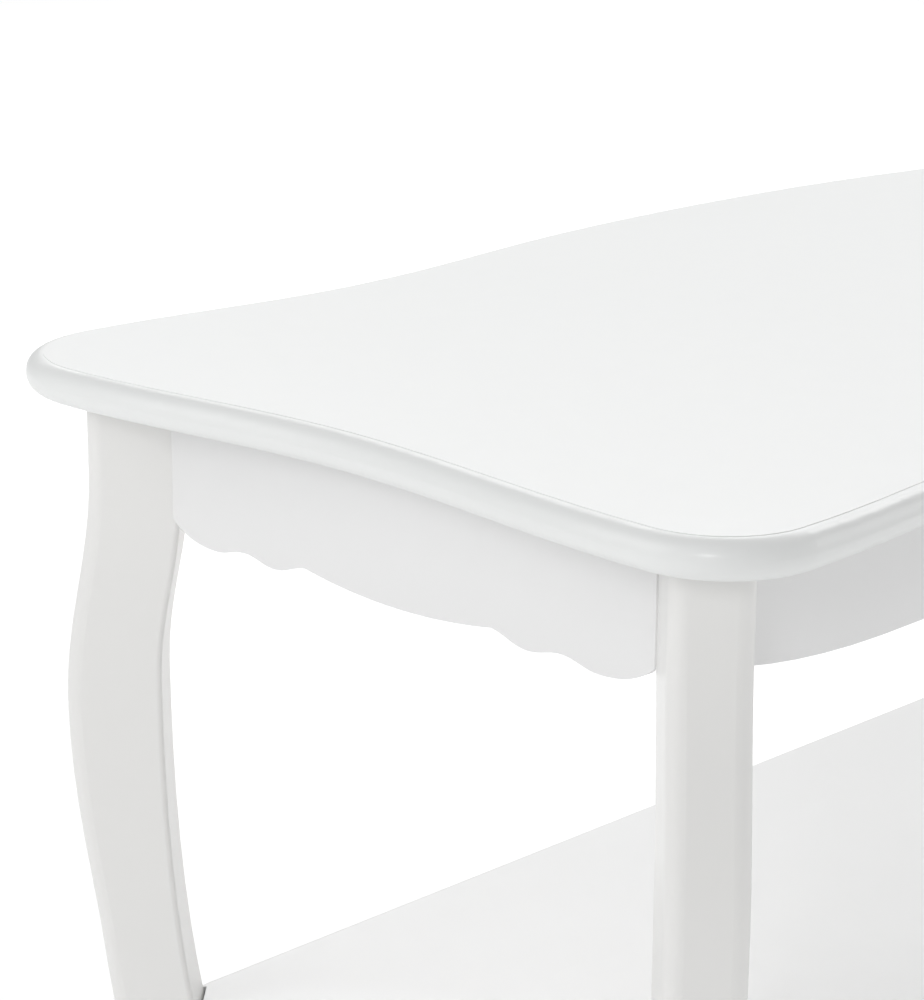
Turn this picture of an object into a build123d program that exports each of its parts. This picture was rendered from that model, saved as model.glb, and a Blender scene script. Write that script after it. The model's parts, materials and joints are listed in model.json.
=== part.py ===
from build123d import *
from math import cos, radians, sin
import os

# Console table: cabriole legs stand on the diagonal at the corners of an apron frame,
# a serpentine top is screwed down on it, and a shelf is housed between the legs.
# Millimetres, +Z up. The origin is on the floor, under the middle of the top.
# +X runs along the length and -Y is the front.

# ================================================================ driving dimensions
table_length = 1100.0             # over the four corners of the top
table_depth = 516.0               # over the two bowed long edges
table_height = 750.0

# ---- top
top_thickness = 18.0
corner_depth = 486.0              # over the rounded corners
front_corner_radius = 50.0
rear_corner_radius = 66.0
end_hollow = 15.0                 # depth of the hollow in each short edge
waist_depth = 459.0               # over the waists between the corners and the bow
waist_x = 322.0
bow_shoulder_x = 160.0            # where the bow turns over towards the waist
bow_shoulder_fall = 10.0          # how far the edge has fallen back there
edge_radius = 8.4                 # rounding of the edge, above and below
edge_step = 0.25                  # fine shoulder where the rounding meets the flat

# ---- apron frame
end_overhang = 54.2               # corner of the top to the outer face of the end apron
side_overhang = 60.8              # corner depth of the top to the outer face of the long apron
apron_thickness = 18.0
apron_ease = 1.2                  # eased ends, which show as a fine groove beside each leg

# ---- bottom edges of the aprons: drops below the top surface and distances in from the apron faces
apron_drop_at_leg = 78.2
end_centre_drop = 89.2            # wide lobe in the middle of the end apron
end_cusp_in = 121.3
end_cusp_drop = 84.0
end_cusp_slope = -0.1             # slope with which the next lobe leaves the cusp
end_small_lobe_in = 99.2
end_small_lobe_drop = 89.2
end_bump_in = 79.2
end_bump_drop = 85.9
end_outer_lobe_in = 57.2
end_outer_lobe_drop = 89.6
end_outer_slope = 1.0             # slope at the leg
long_lobe_in = 123.8              # lobe of the long apron beside each leg
long_lobe_drop = 87.0
long_outer_slope = 0.2            # slope at the leg
long_arch_drop = 68.0             # arch in the middle of the long apron

# ---- legs: flat boards set diagonally
leg_thickness = 36.0
leg_angle = 47.0                  # direction of each board, from the X axis
leg_outer_radius = 8.0
leg_inner_radius = 2.5
glide_thickness = 4.0
# Outline of a leg: distances out from the apron faces, drops below the top surface
# and rises above the floor. Leans are the sideways run per unit of height.
leg_top_out = 41.4
leg_top_straight_drop = 58.0
leg_knee_out = 55.2
leg_knee_drop = 176.6
leg_shank_out = 40.1
leg_shank_drop = 314.0
leg_shank_lean = 0.121
leg_ankle_out = -6.0
leg_ankle_in = -37.0
leg_ankle_rise = 118.0
leg_toe_out = 11.0
leg_toe_rise = 16.0
leg_heel_in = -33.0
leg_calf_in = -6.6                # at the top surface of the shelf
leg_calf_lean = 0.18
leg_hollow_in = 7.0
leg_hollow_drop = 163.0
leg_throat_in = -4.0
leg_throat_drop = 79.0
leg_throat_lean = -0.05
leg_post_in = -34.0
leg_post_drop = 60.0

# ---- shelf
shelf_drop = 347.0                # top surface of the table to the top surface of the shelf
shelf_thickness = 18.0
shelf_corner_width = 32.0         # cut across each corner, whose tongue seats in the leg
tongue_height = 12.0              # the rest of the thickness stops short of the leg
shelf_edge_radius = 3.0
housing_depth = 8.0               # slot in the inner edge of a leg, for a corner of the shelf

# ---- corner blocks, bolts, dowels and screws
block_height = 44.0
block_width = 30.0
bolt_diameter = 8.0
bolt_in_leg = 34.0
bolt_tail = 3.0
bolt_drops = (12.0, 32.0)         # below the underside of the top
washer_diameter = 18.0
washer_thickness = 1.6
nut_across_flats = 13.0
nut_height = 6.5
dowel_diameter = 8.0
dowel_length = 30.0
dowel_drops = (22.0, 50.0)        # below the underside of the top
screw_diameter = 4.0
screw_head_diameter = 8.0
screw_head_height = 2.5
screw_point_diameter = 2.0
screw_point_length = 3.0
screw_in_top = 12.0
screw_in_apron = 12.0
block_screw_grip = 12.0           # wood under the head of a screw through a block
block_screw_along = 22.0          # from the leg's end of the block, along the apron
counterbore_diameter = 10.0
top_screw_side = 18.0             # from the middle of the block, across the diagonal
bracket_leg = 20.0
bracket_width = 16.0
bracket_thickness = 2.0
bracket_x = 200.0
bracket_hole_offset = 12.0        # hole centre from the heel of the bracket
bracket_screw_length = 14.0
cam_diameter = 15.0
cam_height = 12.5
cam_setback = 24.0                # housing floor to the axis of the cam
cam_bolt_diameter = 6.0
cam_bolt_in_leg = 11.0
cam_bolt_past_axis = 2.0
cam_slot_length = 10.5
cam_slot_width = 2.0
cam_slot_depth = 1.5
shelf_dowel_diameter = 6.0
shelf_dowel_length = 22.0
shelf_dowel_side = 11.0           # to each side of the cam bolt
glide_diameter = 20.0
glide_edge_radius = 1.0
nail_diameter = 2.0
nail_length = 16.0                # above its head
nail_head_diameter = 5.0
nail_head_height = 1.0
nail_recess = 0.6                 # floor to the head

# ---- clearances
drill_clearance = 0.1             # on the radius of every drilled hole
end_clearance = 1.0               # beyond the end of every dowel, bolt and screw
housing_clearance = 0.15          # round the shelf's tongue in its housing
shoulder_gap = 1.5                # leg to the step above the tongue, since the leg leans
notch_clearance = 0.3             # each side of the leg, in that step

# ================================================================ derived places
half_length = table_length / 2
underside = table_height - top_thickness
end_face_x = half_length - end_overhang
long_face_y = corner_depth / 2 - side_overhang
along = cos(radians(leg_angle))
across = sin(radians(leg_angle))
# The front left board: the middle of its thickness, where its sides meet the apron faces.
leg_x = -end_face_x + leg_thickness / 2 * across
leg_y = -long_face_y + leg_thickness / 2 * along
end_apron_half = long_face_y - leg_thickness * along
long_apron_half = end_face_x - leg_thickness * across
block_back = leg_post_in - block_width
block_bottom = underside - block_height
shelf_top = table_height - shelf_drop
shelf_bottom = shelf_top - shelf_thickness
tongue_middle = shelf_bottom + tongue_height / 2
housing_floor = leg_calf_in + housing_depth
dowel_reach = dowel_length / 2 + end_clearance
block_screw_length = block_screw_grip + screw_in_apron
top_screw_length = block_height + screw_in_top
nail_head_top = nail_recess + nail_head_height
nail_in_leg = nail_head_top + nail_length - glide_thickness

corner_names = {
    (-1, -1): "front_left",
    (1, -1): "front_right",
    (-1, 1): "rear_left",
    (1, 1): "rear_right",
}


# ================================================================ frames and helpers
def level(drop):
    """The height that lies a given drop below the top surface."""
    return table_height - drop


def corner_point(out, side, z):
    """A point at the front left corner: out along the board, towards its front side, and up."""
    x = leg_x - along * out + across * side
    y = leg_y - across * out - along * side
    return Vector(x, y, z)


def outward_plane(out, side, z):
    """A plane at that point, facing outwards along the board."""
    return Plane(origin=corner_point(out, side, z), x_dir=(0, 0, 1), z_dir=(-along, -across, 0))


def rod(plane, diameter, start, end):
    """A cylinder along the normal of a plane."""
    return extrude(plane.offset(start) * Circle(diameter / 2), end - start)


def drill(plane, diameter, start, end):
    """The hole for such a rod, a little larger all round."""
    return rod(plane, diameter + 2 * drill_clearance, start, end)


def screw(plane, length):
    """A pan-head screw driven along the normal of a plane, with its head seated on the plane."""
    profile = Polyline(
        (0, length),
        (screw_point_diameter / 2, length),
        (screw_diameter / 2, length - screw_point_length),
        (screw_diameter / 2, 0),
        (screw_head_diameter / 2, 0),
        (screw_head_diameter / 2, -screw_head_height / 2),
        (screw_head_diameter / 4, -screw_head_height),
        (0, -screw_head_height),
        close=True,
    )
    turned = revolve(Plane.XZ * make_face(profile), axis=Axis.Z)
    return plane.location * turned


def to_corner(shape, corner):
    """A piece of the front left corner, mirrored to another corner."""
    if corner[0] > 0:
        shape = mirror(shape, about=Plane.YZ)
    if corner[1] > 0:
        shape = mirror(shape, about=Plane.XZ)
    return shape


def at_corners(shapes):
    """The same pieces at all four corners."""
    return [to_corner(shape, corner) for corner in corner_names for shape in shapes]


def smooth(start, end, start_lean=0.0, end_lean=0.0):
    """A curve that rises from one point to another, with a sideways lean at each end."""
    return Spline(start, end, tangents=[(start_lean, 1), (end_lean, 1)])


def level_curve(start, end, start_slope=0.0, end_slope=0.0):
    """A curve that runs sideways from one point to another, with a slope at each end."""
    return Spline(start, end, tangents=[(1, start_slope), (1, end_slope)])


# ================================================================ joints, as planes and lengths
def bolt_planes():
    """Where each bolt of the front left corner crosses the leg's post, facing into the leg."""
    return [outward_plane(leg_post_in, 0, underside - drop) for drop in bolt_drops]


def end_dowel_planes():
    """Middles of the dowels between the end apron and the front left leg, facing into the leg."""
    x = -end_face_x + apron_thickness / 2
    y = -end_apron_half + apron_thickness / 2 * across / along
    return [Plane(origin=(x, y, underside - drop), z_dir=(0, -1, 0)) for drop in dowel_drops]


def long_dowel_planes():
    """Middles of the dowels between the long apron and the front left leg, facing into the leg."""
    x = -long_apron_half + apron_thickness / 2 * along / across
    y = -long_face_y + apron_thickness / 2
    return [Plane(origin=(x, y, underside - drop), z_dir=(-1, 0, 0)) for drop in dowel_drops]


def block_end_side(out):
    """How far to the side, at a distance out, the inner face of the end apron lies."""
    return apron_thickness / across - leg_thickness / 2 + out * along / across


def block_long_side(out):
    """How far to the side, at a distance out, the inner face of the long apron lies."""
    return leg_thickness / 2 - apron_thickness / along - out * across / along


def block_screw_planes():
    """Head seats of the two screws through a corner block: into the end and the long apron."""
    z = underside - block_height / 2
    end_start = corner_point(leg_post_in, block_end_side(leg_post_in), z)
    long_start = corner_point(leg_post_in, block_long_side(leg_post_in), z)
    end_seat = end_start + Vector(block_screw_grip, block_screw_along, 0)
    long_seat = long_start + Vector(block_screw_along, block_screw_grip, 0)
    return [Plane(origin=end_seat, z_dir=(-1, 0, 0)), Plane(origin=long_seat, z_dir=(0, -1, 0))]


def top_screw_plane():
    """Head seat of the screw that runs up through a corner block into the top."""
    return Plane(origin=corner_point((leg_post_in + block_back) / 2, top_screw_side, block_bottom))


def bracket_frames():
    """Frames in the corners between the aprons and the top: X points inwards and Z up."""
    end_x = end_face_x - apron_thickness
    long_y = long_face_y - apron_thickness
    frames = []
    for way in (-1, 1):
        frames.append(Plane(origin=(way * end_x, 0, underside), x_dir=(-way, 0, 0), z_dir=(0, 0, 1)))
        for x in (-bracket_x, bracket_x):
            frames.append(Plane(origin=(x, way * long_y, underside), x_dir=(0, -way, 0), z_dir=(0, 0, 1)))
    return frames


def bracket_screw_planes(frame):
    """Head seats of a bracket's two screws: up into the top, and out into the apron."""
    upward = frame.location * Pos(bracket_hole_offset, 0, -bracket_thickness)
    outward = frame.location * Pos(bracket_thickness, 0, -bracket_hole_offset) * Rot(0, -90, 0)
    return [Plane(upward), Plane(outward)]


def cam_bolt_plane():
    """Where the cam bolt crosses the floor of the leg's housing, facing into the leg."""
    return outward_plane(housing_floor, 0, tongue_middle)


def shelf_dowel_planes():
    sides = (-shelf_dowel_side, shelf_dowel_side)
    return [outward_plane(housing_floor, side, tongue_middle) for side in sides]


def cam_plane():
    """Axis of the cam lock, in the underside of the shelf and facing up."""
    return Plane(origin=corner_point(housing_floor - cam_setback, 0, shelf_bottom))


def nail_plane():
    """Where the nail of a glide meets the sole of the leg, facing up."""
    return Plane(origin=corner_point((leg_toe_out + leg_heel_in) / 2, 0, glide_thickness))


# ================================================================ top
def quarter_outline(corner_radius, inset):
    """The edge of the top, set in a little: from the middle of the left end to the middle of the rear."""
    end_x = -half_length + inset
    end_y = corner_depth / 2 - corner_radius
    corner_x = -half_length + corner_radius
    corner_y = corner_depth / 2 - inset
    waist = (-waist_x, waist_depth / 2 - inset)
    shoulder = (-bow_shoulder_x, table_depth / 2 - bow_shoulder_fall - inset)
    bow = (0, table_depth / 2 - inset)
    return [
        smooth((end_x + end_hollow, 0), (end_x, end_y)),
        RadiusArc((end_x, end_y), (corner_x, corner_y), corner_radius - inset),
        level_curve((corner_x, corner_y), waist),
        Spline(waist, shoulder, bow, tangents=[(1, 0), (1, 0)]),
    ]


def top_face(inset):
    """The plan of the top, set in a little. Its rear corners are rounder than its front ones."""
    rear = Curve() + quarter_outline(rear_corner_radius, inset)
    front = Curve() + quarter_outline(front_corner_radius, inset)
    left_half = rear + mirror(front, about=Plane.XZ)
    outline = left_half + mirror(left_half, about=Plane.YZ)
    return make_face(outline.edges())


def make_top():
    """A slab with rounded edges, whose flat stands a fine shoulder above the rounding."""
    slab = extrude(Pos(0, 0, underside) * top_face(0), top_thickness - edge_step)
    slab = fillet(slab.edges().filter_by(Axis.Z, reverse=True), edge_radius)
    flat = top_face(edge_radius + edge_step)
    top = slab + extrude(Pos(0, 0, table_height - 2 * edge_step) * flat, 2 * edge_step)
    screw_end = top_screw_length + end_clearance
    top -= at_corners([drill(top_screw_plane(), screw_diameter, block_height, screw_end)])
    for frame in bracket_frames():
        upward = bracket_screw_planes(frame)[0]
        top -= drill(upward, screw_diameter, bracket_thickness, bracket_screw_length + end_clearance)
    return top


# ================================================================ legs
def leg_outline():
    """Side view of a leg: X is the distance out from the apron faces and Y is the height."""
    toe = (leg_toe_out, leg_toe_rise)
    toe_end = (leg_toe_out, glide_thickness)
    heel = (leg_heel_in, glide_thickness)
    ankle_out = (leg_ankle_out, leg_ankle_rise)
    ankle_in = (leg_ankle_in, leg_ankle_rise)
    shank = (leg_shank_out, level(leg_shank_drop))
    calf = (leg_calf_in, shelf_top)
    knee = (leg_knee_out, level(leg_knee_drop))
    hollow = (leg_hollow_in, level(leg_hollow_drop))
    throat = (leg_throat_in, level(leg_throat_drop))
    straight_start = (leg_top_out, level(leg_top_straight_drop))
    post_start = (leg_post_in, level(leg_post_drop))
    return make_face([
        Line(toe_end, toe),
        smooth(toe, ankle_out),
        smooth(ankle_out, shank, end_lean=leg_shank_lean),
        smooth(shank, knee, start_lean=leg_shank_lean),
        smooth(knee, straight_start),
        Line(straight_start, (leg_top_out, underside)),
        Line((leg_top_out, underside), (leg_post_in, underside)),
        Line((leg_post_in, underside), post_start),
        smooth(throat, post_start, start_lean=leg_throat_lean),
        smooth(hollow, throat, end_lean=leg_throat_lean),
        smooth(calf, hollow, start_lean=leg_calf_lean),
        smooth(ankle_in, calf, end_lean=leg_calf_lean),
        smooth(heel, ankle_in),
        Line(heel, toe_end),
    ])


def leg_board():
    """The board with its long edges rounded, more on the outer face than on the inner."""
    inward = Vector(along, across, 0)
    front_side = Plane(
        origin=corner_point(0, leg_thickness / 2, 0),
        x_dir=-inward,
        z_dir=(-across, along, 0),
    )
    board = extrude(front_side * leg_outline(), leg_thickness)
    for radius, places in ((leg_outer_radius, slice(0, 2)), (leg_inner_radius, slice(-2, None))):
        sides = board.faces().filter_by(GeomType.PLANE).sort_by(Face.area)[-2:]
        rising = sides.edges().filter_by(lambda edge: abs(edge.tangent_at(0.5).Z) > 0.5)
        ordered = rising.sort_by(lambda edge: edge.center().dot(inward))
        board = fillet(ordered[places], radius)
    return board


def make_leg():
    leg = leg_board()
    housing = Rectangle(tongue_height + housing_clearance, 2 * leg_thickness)
    leg -= extrude(cam_bolt_plane() * Pos(housing_clearance / 2, 0) * housing, -leg_thickness)
    for plane in bolt_planes():
        leg -= drill(plane, bolt_diameter, 0, bolt_in_leg + end_clearance)
    for plane in end_dowel_planes() + long_dowel_planes():
        leg -= drill(plane, dowel_diameter, -dowel_reach, dowel_reach)
    leg -= drill(cam_bolt_plane(), cam_bolt_diameter, 0, cam_bolt_in_leg + end_clearance)
    for plane in shelf_dowel_planes():
        leg -= drill(plane, shelf_dowel_diameter, 0, shelf_dowel_length / 2 + end_clearance)
    leg -= drill(nail_plane(), nail_diameter, 0, nail_in_leg + end_clearance)
    return leg


# ================================================================ aprons
def bevelled_plan(half, run):
    """Plan of an apron: its outer face on Y = 0, its ends bevelled against the legs."""
    return make_face(Polyline(
        (-half, 0),
        (half, 0),
        (half - run, apron_thickness),
        (-half + run, apron_thickness),
        close=True,
    ))


def mirrored_profile(right_half, half):
    """The part of an apron's side view to be kept: above its bottom edge, given for one half."""
    bottom = Curve() + right_half
    bottom = bottom + mirror(bottom, about=Plane.YZ)
    corners = [(half, level(apron_drop_at_leg)), (half, underside), (-half, underside)]
    corners.append((-half, level(apron_drop_at_leg)))
    return make_face(bottom.edges() + Polyline(*corners).edges())


def end_bottom_edge():
    """Bottom edge of the end apron, from its middle to the leg: lobes between low cusps."""
    cusp = (long_face_y - end_cusp_in, level(end_cusp_drop))
    small_lobe = (long_face_y - end_small_lobe_in, level(end_small_lobe_drop))
    bump = (long_face_y - end_bump_in, level(end_bump_drop))
    outer_lobe = (long_face_y - end_outer_lobe_in, level(end_outer_lobe_drop))
    end = (end_apron_half, level(apron_drop_at_leg))
    centre = (0, level(end_centre_drop))
    return [
        TangentArc(centre, cusp, tangent=(1, 0)),
        level_curve(cusp, small_lobe, start_slope=end_cusp_slope),
        level_curve(small_lobe, bump),
        level_curve(bump, outer_lobe),
        level_curve(outer_lobe, end, end_slope=end_outer_slope),
    ]


def long_bottom_edge():
    """Bottom edge of the long apron, from its middle to the leg: a wide arch and a lobe."""
    lobe = (end_face_x - long_lobe_in, level(long_lobe_drop))
    end = (long_apron_half, level(apron_drop_at_leg))
    return [
        level_curve((0, level(long_arch_drop)), lobe),
        level_curve(lobe, end, end_slope=long_outer_slope),
    ]


def apron_board(half, run, right_half):
    """An apron lying along X with its outer face towards -Y."""
    plan = extrude(bevelled_plan(half, run), table_height)
    profile = extrude(Plane.XZ * mirrored_profile(right_half, half), -apron_thickness)
    board = plan & profile
    corners = board.edges().filter_by(Axis.Z).sort_by(Axis.Y)[:2]
    return chamfer(corners, apron_ease)


def make_end_apron():
    """The left end apron."""
    run = apron_thickness * across / along
    apron = Pos(-end_face_x, 0, 0) * Rot(0, 0, -90) * apron_board(end_apron_half, run, end_bottom_edge())
    holes = [drill(plane, dowel_diameter, -dowel_reach, dowel_reach) for plane in end_dowel_planes()]
    holes.append(drill(block_screw_planes()[0], screw_diameter, 0, block_screw_length + end_clearance))
    apron -= holes
    apron -= [mirror(hole, about=Plane.XZ) for hole in holes]
    outward = bracket_screw_planes(bracket_frames()[0])[1]
    return apron - drill(outward, screw_diameter, 0, bracket_screw_length + end_clearance)


def make_long_apron():
    """The front long apron."""
    run = apron_thickness * along / across
    apron = Pos(0, -long_face_y, 0) * apron_board(long_apron_half, run, long_bottom_edge())
    holes = [drill(plane, dowel_diameter, -dowel_reach, dowel_reach) for plane in long_dowel_planes()]
    holes.append(drill(block_screw_planes()[1], screw_diameter, 0, block_screw_length + end_clearance))
    outward = bracket_screw_planes(bracket_frames()[1])[1]
    holes.append(drill(outward, screw_diameter, 0, bracket_screw_length + end_clearance))
    apron -= holes
    return apron - [mirror(hole, about=Plane.YZ) for hole in holes]


# ================================================================ shelf
def make_shelf():
    """A board with eased edges, whose cut corners are stepped to tongues for the legs' housings."""
    floor = housing_floor - housing_clearance
    near_end = corner_point(floor, -shelf_corner_width / 2, 0)
    near_side = corner_point(floor, shelf_corner_width / 2, 0)
    quarter = [(near_end.X, near_end.Y), (near_side.X, near_side.Y)]
    front = quarter + [(-x, y) for x, y in reversed(quarter)]
    plan = Polyline(*front, *[(x, -y) for x, y in reversed(front)], close=True)
    shelf = extrude(Pos(0, 0, shelf_bottom) * make_face(plan), shelf_thickness)
    shelf = fillet(shelf.edges().filter_by(Axis.Z, reverse=True), shelf_edge_radius)
    step = Rectangle(2 * (shelf_thickness - tongue_height), leg_thickness + 2 * notch_clearance)
    notch = extrude(outward_plane(leg_calf_in - shoulder_gap, 0, shelf_top) * step, leg_thickness)
    cam_pocket = drill(cam_plane(), cam_diameter, -end_clearance, cam_height)
    cam_bore = drill(cam_bolt_plane(), cam_bolt_diameter, -cam_setback, 0)
    holes = [notch, cam_pocket, cam_bore]
    for plane in shelf_dowel_planes():
        holes.append(drill(plane, shelf_dowel_diameter, -shelf_dowel_length / 2 - end_clearance, 0))
    return shelf - at_corners(holes)


# ================================================================ corner blocks and their fasteners
def make_block():
    """The block behind a leg: it bears on the leg's post and on both aprons."""
    places = [
        (leg_post_in, block_end_side(leg_post_in)),
        (leg_post_in, block_long_side(leg_post_in)),
        (block_back, block_long_side(block_back)),
        (block_back, block_end_side(block_back)),
    ]
    points = [corner_point(out, side, block_bottom) for out, side in places]
    block = extrude(make_face(Polyline(*points, close=True)), block_height, dir=(0, 0, 1))
    for plane in bolt_planes():
        block -= drill(plane, bolt_diameter, -block_width - end_clearance, 0)
    for plane in block_screw_planes():
        block -= drill(plane, screw_diameter, 0, block_screw_grip)
        block -= rod(plane, counterbore_diameter, -block_width, 0)
    return block - drill(top_screw_plane(), screw_diameter, 0, block_height)


def make_bolts():
    """Hanger bolts, from inside the leg to just past the nut."""
    back = block_width + washer_thickness + nut_height + bolt_tail
    return [rod(plane, bolt_diameter, -back, bolt_in_leg) for plane in bolt_planes()]


def make_washers():
    washers = []
    for plane in bolt_planes():
        seat = plane.offset(-block_width)
        ring = rod(seat, washer_diameter, -washer_thickness, 0)
        washers.append(ring - drill(seat, bolt_diameter, -washer_thickness, 0))
    return washers


def make_nuts():
    nuts = []
    for plane in bolt_planes():
        seat = plane.offset(-block_width - washer_thickness)
        hexagon = RegularPolygon(nut_across_flats / 2, 6, major_radius=False)
        nut = extrude(seat * hexagon, -nut_height)
        nuts.append(nut - drill(seat, bolt_diameter, -nut_height, 0))
    return nuts


def make_apron_dowels():
    planes = end_dowel_planes() + long_dowel_planes()
    return [rod(plane, dowel_diameter, -dowel_length / 2, dowel_length / 2) for plane in planes]


def make_block_screws():
    return [screw(plane, block_screw_length) for plane in block_screw_planes()]


def make_top_screws():
    return [screw(top_screw_plane(), top_screw_length)]


# ================================================================ top brackets
def make_bracket(frame):
    """An angle bracket in the corner between an apron and the top."""
    flat = Box(bracket_leg, bracket_width, bracket_thickness, align=(Align.MIN, Align.CENTER, Align.MAX))
    upright = Box(bracket_thickness, bracket_width, bracket_leg, align=(Align.MIN, Align.CENTER, Align.MAX))
    bracket = frame.location * (flat + upright)
    for plane in bracket_screw_planes(frame):
        bracket -= drill(plane, screw_diameter, 0, bracket_thickness)
    return bracket


def make_brackets():
    return [make_bracket(frame) for frame in bracket_frames()]


def make_bracket_screws():
    planes = [plane for frame in bracket_frames() for plane in bracket_screw_planes(frame)]
    return [screw(plane, bracket_screw_length) for plane in planes]


# ================================================================ shelf fittings
def make_cam_bolts():
    return [rod(cam_bolt_plane(), cam_bolt_diameter, -cam_setback - cam_bolt_past_axis, cam_bolt_in_leg)]


def make_cam_locks():
    """A cam in the underside of the shelf, hollowed for the bolt and slotted for a driver."""
    lock = rod(cam_plane(), cam_diameter, 0, cam_height)
    lock -= drill(cam_bolt_plane(), cam_bolt_diameter, -cam_setback - cam_bolt_past_axis - end_clearance, 0)
    for turn in (0, 90):
        slot = Rot(0, 0, turn) * Rectangle(cam_slot_length, cam_slot_width)
        lock -= extrude(cam_plane() * slot, cam_slot_depth)
    return [lock]


def make_shelf_dowels():
    reach = shelf_dowel_length / 2
    return [rod(plane, shelf_dowel_diameter, -reach, reach) for plane in shelf_dowel_planes()]


# ================================================================ glides
def make_glides():
    """A plastic glide under the sole of a leg, with a recess for the head of its nail."""
    glide = rod(nail_plane(), glide_diameter, -glide_thickness, 0)
    glide = fillet(glide.edges().sort_by(Axis.Z)[0], glide_edge_radius)
    glide -= drill(nail_plane(), nail_head_diameter, -glide_thickness, nail_head_top - glide_thickness)
    return [glide - drill(nail_plane(), nail_diameter, -glide_thickness, 0)]


def make_nails():
    head_top = nail_head_top - glide_thickness
    head = rod(nail_plane(), nail_head_diameter, head_top - nail_head_height, head_top)
    return [head + rod(nail_plane(), nail_diameter, head_top, nail_in_leg)]


# ================================================================ assembly
def make_nodes():
    """Every piece by name; a list holds identical pieces that share a name."""
    leg = make_leg()
    block = make_block()
    end_apron = make_end_apron()
    long_apron = make_long_apron()
    nodes = {
        "tabletop": make_top(),
        "shelf": make_shelf(),
        "end_apron_left": end_apron,
        "end_apron_right": mirror(end_apron, about=Plane.YZ),
        "long_apron_front": long_apron,
        "long_apron_rear": mirror(long_apron, about=Plane.XZ),
    }
    for corner, name in corner_names.items():
        nodes["leg_" + name] = to_corner(leg, corner)
        nodes["corner_block_" + name] = to_corner(block, corner)
    nodes["hanger_bolts"] = at_corners(make_bolts())
    nodes["hanger_washers"] = at_corners(make_washers())
    nodes["hanger_nuts"] = at_corners(make_nuts())
    nodes["apron_dowels"] = at_corners(make_apron_dowels())
    nodes["block_screws"] = at_corners(make_block_screws())
    nodes["top_screws"] = at_corners(make_top_screws())
    nodes["top_brackets"] = make_brackets()
    nodes["bracket_screws"] = make_bracket_screws()
    nodes["shelf_cam_bolts"] = at_corners(make_cam_bolts())
    nodes["shelf_cam_locks"] = at_corners(make_cam_locks())
    nodes["shelf_dowels"] = at_corners(make_shelf_dowels())
    nodes["foot_glides"] = at_corners(make_glides())
    nodes["glide_nails"] = at_corners(make_nails())
    return nodes


os.makedirs("parts", exist_ok=True)
for node_name, pieces in make_nodes().items():
    if isinstance(pieces, list):
        pieces = Compound(children=pieces)
    export_step(pieces, f"parts/{node_name}.step")
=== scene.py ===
import json
from math import cos, radians, sin

import bpy
from mathutils import Matrix, Vector

# A white lacquered console table on a pale studio floor, in metres.
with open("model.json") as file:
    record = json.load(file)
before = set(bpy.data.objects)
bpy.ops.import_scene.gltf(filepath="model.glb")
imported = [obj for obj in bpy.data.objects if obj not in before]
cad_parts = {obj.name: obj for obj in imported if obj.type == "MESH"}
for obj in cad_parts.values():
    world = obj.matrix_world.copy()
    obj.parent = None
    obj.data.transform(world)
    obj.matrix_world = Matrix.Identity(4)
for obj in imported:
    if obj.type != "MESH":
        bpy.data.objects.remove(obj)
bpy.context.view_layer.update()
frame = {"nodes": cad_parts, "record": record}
nodes = frame["nodes"]
slot_of = {part["node"]: part["material_slot"] for part in frame["record"]["subparts"]}

# ================================================================ driving values
camera_azimuth = -45.083          # degrees; 0 looks along +Y
camera_elevation = 15.711
camera_roll = 0.221
camera_place = Vector((-1.3874, -0.9273, 1.0828))
camera_lens = 107.1               # on the usual 36 mm sensor
camera_shift = (0.0070, -0.0190)

top_white = (0.850, 0.862, 0.856)
board_white = (0.856, 0.856, 0.856)
leg_white = (0.856, 0.852, 0.838)
pine_colour = (0.62, 0.42, 0.24)
beech_colour = (0.66, 0.45, 0.27)
zinc_colour = (0.62, 0.63, 0.65)
glide_colour = (0.72, 0.70, 0.66)

floor_size = 40.0
floor_colour = (0.90, 0.90, 0.90)
floor_glow = 0.22
world_light = 0.475


# ================================================================ node helpers
class Shader:
    """A material under construction, with short names for adding and joining its nodes."""

    def __init__(self, name):
        self.material = bpy.data.materials.new(name)
        self.material.use_nodes = True
        self.tree = self.material.node_tree
        self.surface = self.tree.nodes["Principled BSDF"]

    def node(self, kind, inputs=None, **settings):
        made = self.tree.nodes.new("ShaderNode" + kind)
        for key, value in settings.items():
            setattr(made, key, value)
        for key, value in (inputs or {}).items():
            if isinstance(value, bpy.types.NodeSocket):
                self.tree.links.new(value, made.inputs[key])
            else:
                made.inputs[key].default_value = value
        return made

    def link(self, output, socket):
        self.tree.links.new(output, self.surface.inputs[socket])

    def set(self, **values):
        for socket, value in values.items():
            self.surface.inputs[socket.replace("_", " ")].default_value = value

    def places(self, stretch=(1, 1, 1)):
        """Object coordinates, stretched so that a pattern runs along one way."""
        coordinates = self.node("TexCoord").outputs["Object"]
        return self.node("Mapping", {"Vector": coordinates, "Scale": stretch}).outputs["Vector"]

    def noise(self, scale, detail=2.0, roughness=0.5, stretch=(1, 1, 1)):
        inputs = {
            "Vector": self.places(stretch),
            "Scale": scale,
            "Detail": detail,
            "Roughness": roughness,
        }
        return self.node("TexNoise", inputs).outputs["Fac"]

    def spread(self, value, low, high):
        """A 0 to 1 pattern, mapped to a narrow range of values."""
        inputs = {"Value": value, "To Min": low, "To Max": high}
        return self.node("MapRange", inputs).outputs["Result"]

    def tint(self, value, dark, light):
        """A 0 to 1 pattern, turned into a colour between two."""
        mix = self.node("Mix", data_type="RGBA")
        self.tree.links.new(value, mix.inputs["Factor"])
        mix.inputs["A"].default_value = (*dark, 1)
        mix.inputs["B"].default_value = (*light, 1)
        return mix.outputs["Result"]

    def bump(self, height, distance):
        return self.node("Bump", {"Height": height, "Distance": distance}).outputs["Normal"]


def scaled(colour, factor):
    return tuple(channel * factor for channel in colour)


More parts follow.
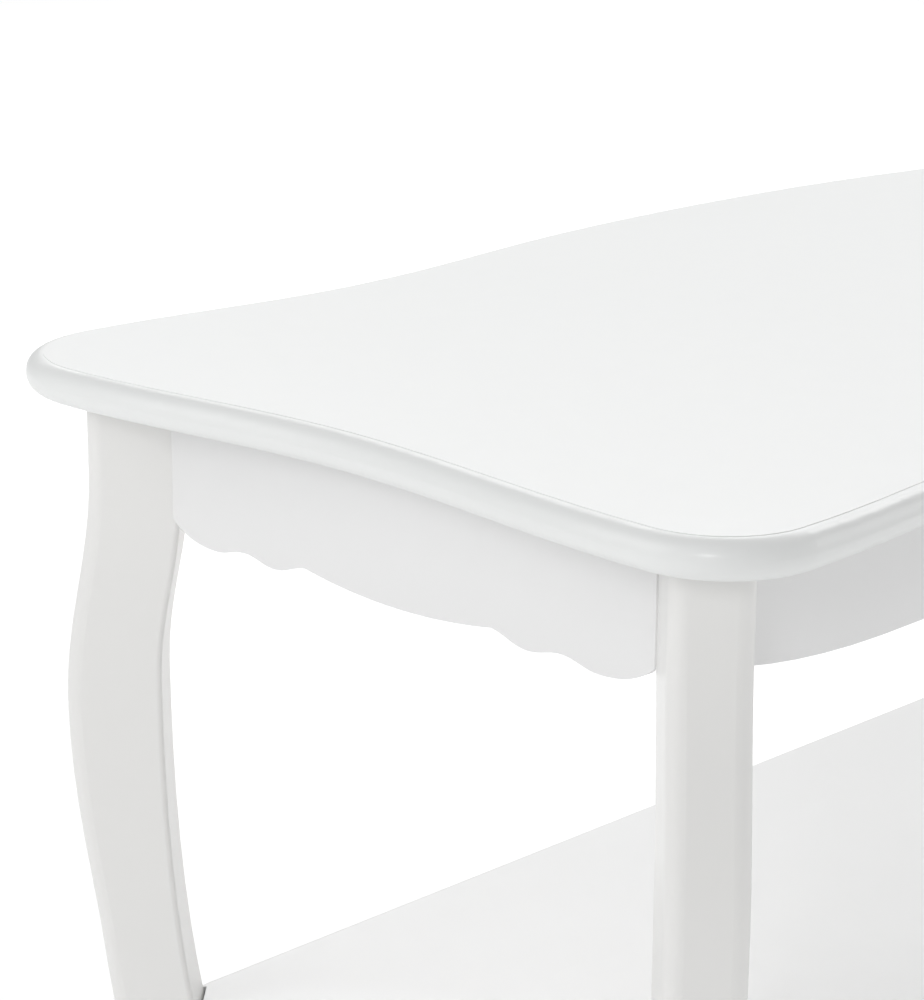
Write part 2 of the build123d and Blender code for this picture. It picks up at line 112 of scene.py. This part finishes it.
# ================================================================ materials
def make_lacquer(name, white):
    """Sprayed white satin lacquer: orange peel, faint clouding and slightly uneven sheen."""
    shader = Shader(name)
    clouds = shader.noise(5.0, detail=2)
    shader.link(shader.tint(clouds, scaled(white, 0.985), white), "Base Color")
    shader.link(shader.spread(shader.noise(60.0), 0.30, 0.40), "Roughness")
    peel = shader.bump(shader.noise(650.0, detail=1), 0.000012)
    shader.link(peel, "Normal")
    shader.set(Specular_IOR_Level=0.45, Coat_Weight=0.15, Coat_Roughness=0.10)
    return shader.material


def make_sawn_wood(name, colour, along):
    """Bare wood with grain along one way: growth bands, fine fibres and a dry surface."""
    shader = Shader(name)
    stretch = tuple(0.06 if axis == along else 1.0 for axis in range(3))
    bands = shader.noise(95.0, detail=3, roughness=0.6, stretch=stretch)
    fibres = shader.noise(900.0, detail=2, stretch=stretch)
    grain = shader.tint(bands, scaled(colour, 0.80), scaled(colour, 1.12))
    shader.link(grain, "Base Color")
    shader.link(shader.spread(fibres, 0.62, 0.78), "Roughness")
    shader.link(shader.bump(fibres, 0.00012), "Normal")
    return shader.material


def make_zinc(name):
    """Bright zinc plate, faintly clouded and brushed by tumbling."""
    shader = Shader(name)
    clouds = shader.noise(240.0, detail=3)
    shader.link(shader.tint(clouds, scaled(zinc_colour, 0.90), zinc_colour), "Base Color")
    shader.link(shader.spread(shader.noise(700.0), 0.30, 0.44), "Roughness")
    shader.link(shader.bump(shader.noise(1500.0), 0.00002), "Normal")
    shader.set(Metallic=1.0)
    return shader.material


def make_glide_plastic(name):
    """Moulded plastic, finely textured."""
    shader = Shader(name)
    clouds = shader.noise(120.0)
    shader.link(shader.tint(clouds, scaled(glide_colour, 0.95), glide_colour), "Base Color")
    shader.link(shader.spread(shader.noise(600.0), 0.48, 0.60), "Roughness")
    shader.link(shader.bump(shader.noise(1400.0), 0.00003), "Normal")
    return shader.material


def dress_nodes():
    """Gives every CAD node the material of its record slot."""
    materials = {
        "painted_top": make_lacquer("painted_top", top_white),
        "painted_shelf": make_lacquer("painted_shelf", board_white),
        "painted_apron": make_lacquer("painted_apron", board_white),
        "painted_leg": make_lacquer("painted_leg", leg_white),
        "raw_wood": make_sawn_wood("raw_wood", pine_colour, along=0),
        "beech": make_sawn_wood("beech", beech_colour, along=1),
        "zinc_steel": make_zinc("zinc_steel"),
        "glide_plastic": make_glide_plastic("glide_plastic"),
    }
    for name, node in nodes.items():
        for place in node.material_slots:
            place.material = materials[slot_of[name]]


# ================================================================ studio
def make_floor():
    """A pale floor, wide enough to fill the view."""
    mesh = bpy.data.meshes.new("floor")
    half = floor_size / 2
    corners = [(-half, -half, 0), (half, -half, 0), (half, half, 0), (-half, half, 0)]
    mesh.from_pydata(corners, [], [(0, 1, 2, 3)])
    floor = bpy.data.objects.new("floor", mesh)
    bpy.context.collection.objects.link(floor)
    shader = Shader("floor")
    shader.set(Base_Color=(*floor_colour, 1), Roughness=0.9, Specular_IOR_Level=0.1)
    shader.set(Emission_Color=(1, 1, 1, 1), Emission_Strength=floor_glow)
    mesh.materials.append(shader.material)


def make_world():
    world = bpy.data.worlds.new("studio")
    world.use_nodes = True
    background = world.node_tree.nodes["Background"]
    background.inputs["Color"].default_value = (1, 1, 1, 1)
    background.inputs["Strength"].default_value = world_light
    bpy.context.scene.world = world


def make_softbox(name, place, target, size, power):
    """A rectangular soft light that faces a point."""
    light = bpy.data.lights.new(name, "AREA")
    light.shape = "RECTANGLE"
    light.size, light.size_y = size
    light.energy = power
    softbox = bpy.data.objects.new(name, light)
    softbox.location = place
    softbox.rotation_euler = (Vector(target) - Vector(place)).to_track_quat("-Z", "Y").to_euler()
    bpy.context.collection.objects.link(softbox)


def make_lights():
    """Soft light mostly from behind and the right, with small lights that draw the edge highlights."""
    table = (0, 0, 0.6)
    left_end = (-0.5, 0.1, 0.6)
    near_corner = (-0.5, -0.2, 0.7)
    far_floor = (4.5, 4.5, 0)
    make_softbox("rear_low", (2.6, 2.4, 1.2), table, (3.0, 2.0), 7)
    make_softbox("rear_high", (2.4, 2.4, 3.0), table, (3.0, 2.0), 36.5)
    make_softbox("right_high", (2.5, 0.3, 2.9), table, (1.0, 1.0), 14.8)
    make_softbox("right_front", (2.4, -2.0, 1.6), table, (1.6, 1.6), 11)
    make_softbox("left_near", (-1.5, 0.45, 1.3), left_end, (0.9, 0.9), 4.2)
    make_softbox("left_high", (-1.6, -0.6, 3.0), table, (1.6, 1.6), 1.8)
    make_softbox("corner_glint", (-2.2, -1.1, 1.6), near_corner, (0.4, 0.4), 6.5)
    make_softbox("background", (4.0, 4.0, 3.0), far_floor, (6.0, 6.0), 120)


def make_camera():
    """Looks down on the front left corner."""
    camera = bpy.data.objects.new("camera", bpy.data.cameras.new("camera"))
    camera.data.lens = camera_lens
    camera.data.sensor_width = 36
    camera.data.shift_x, camera.data.shift_y = camera_shift
    turn = radians(camera_azimuth)
    rise = radians(camera_elevation)
    back = Vector((sin(turn) * cos(rise), -cos(turn) * cos(rise), sin(rise)))
    facing = (-back).to_track_quat("-Z", "Y").to_matrix().to_4x4()
    tilt = Matrix.Rotation(radians(camera_roll), 4, "Z")
    camera.matrix_world = Matrix.Translation(camera_place) @ facing @ tilt
    bpy.context.collection.objects.link(camera)
    bpy.context.scene.camera = camera


dress_nodes()
make_floor()
make_world()
make_lights()
make_camera()
bpy.context.scene.view_settings.view_transform = "Standard"
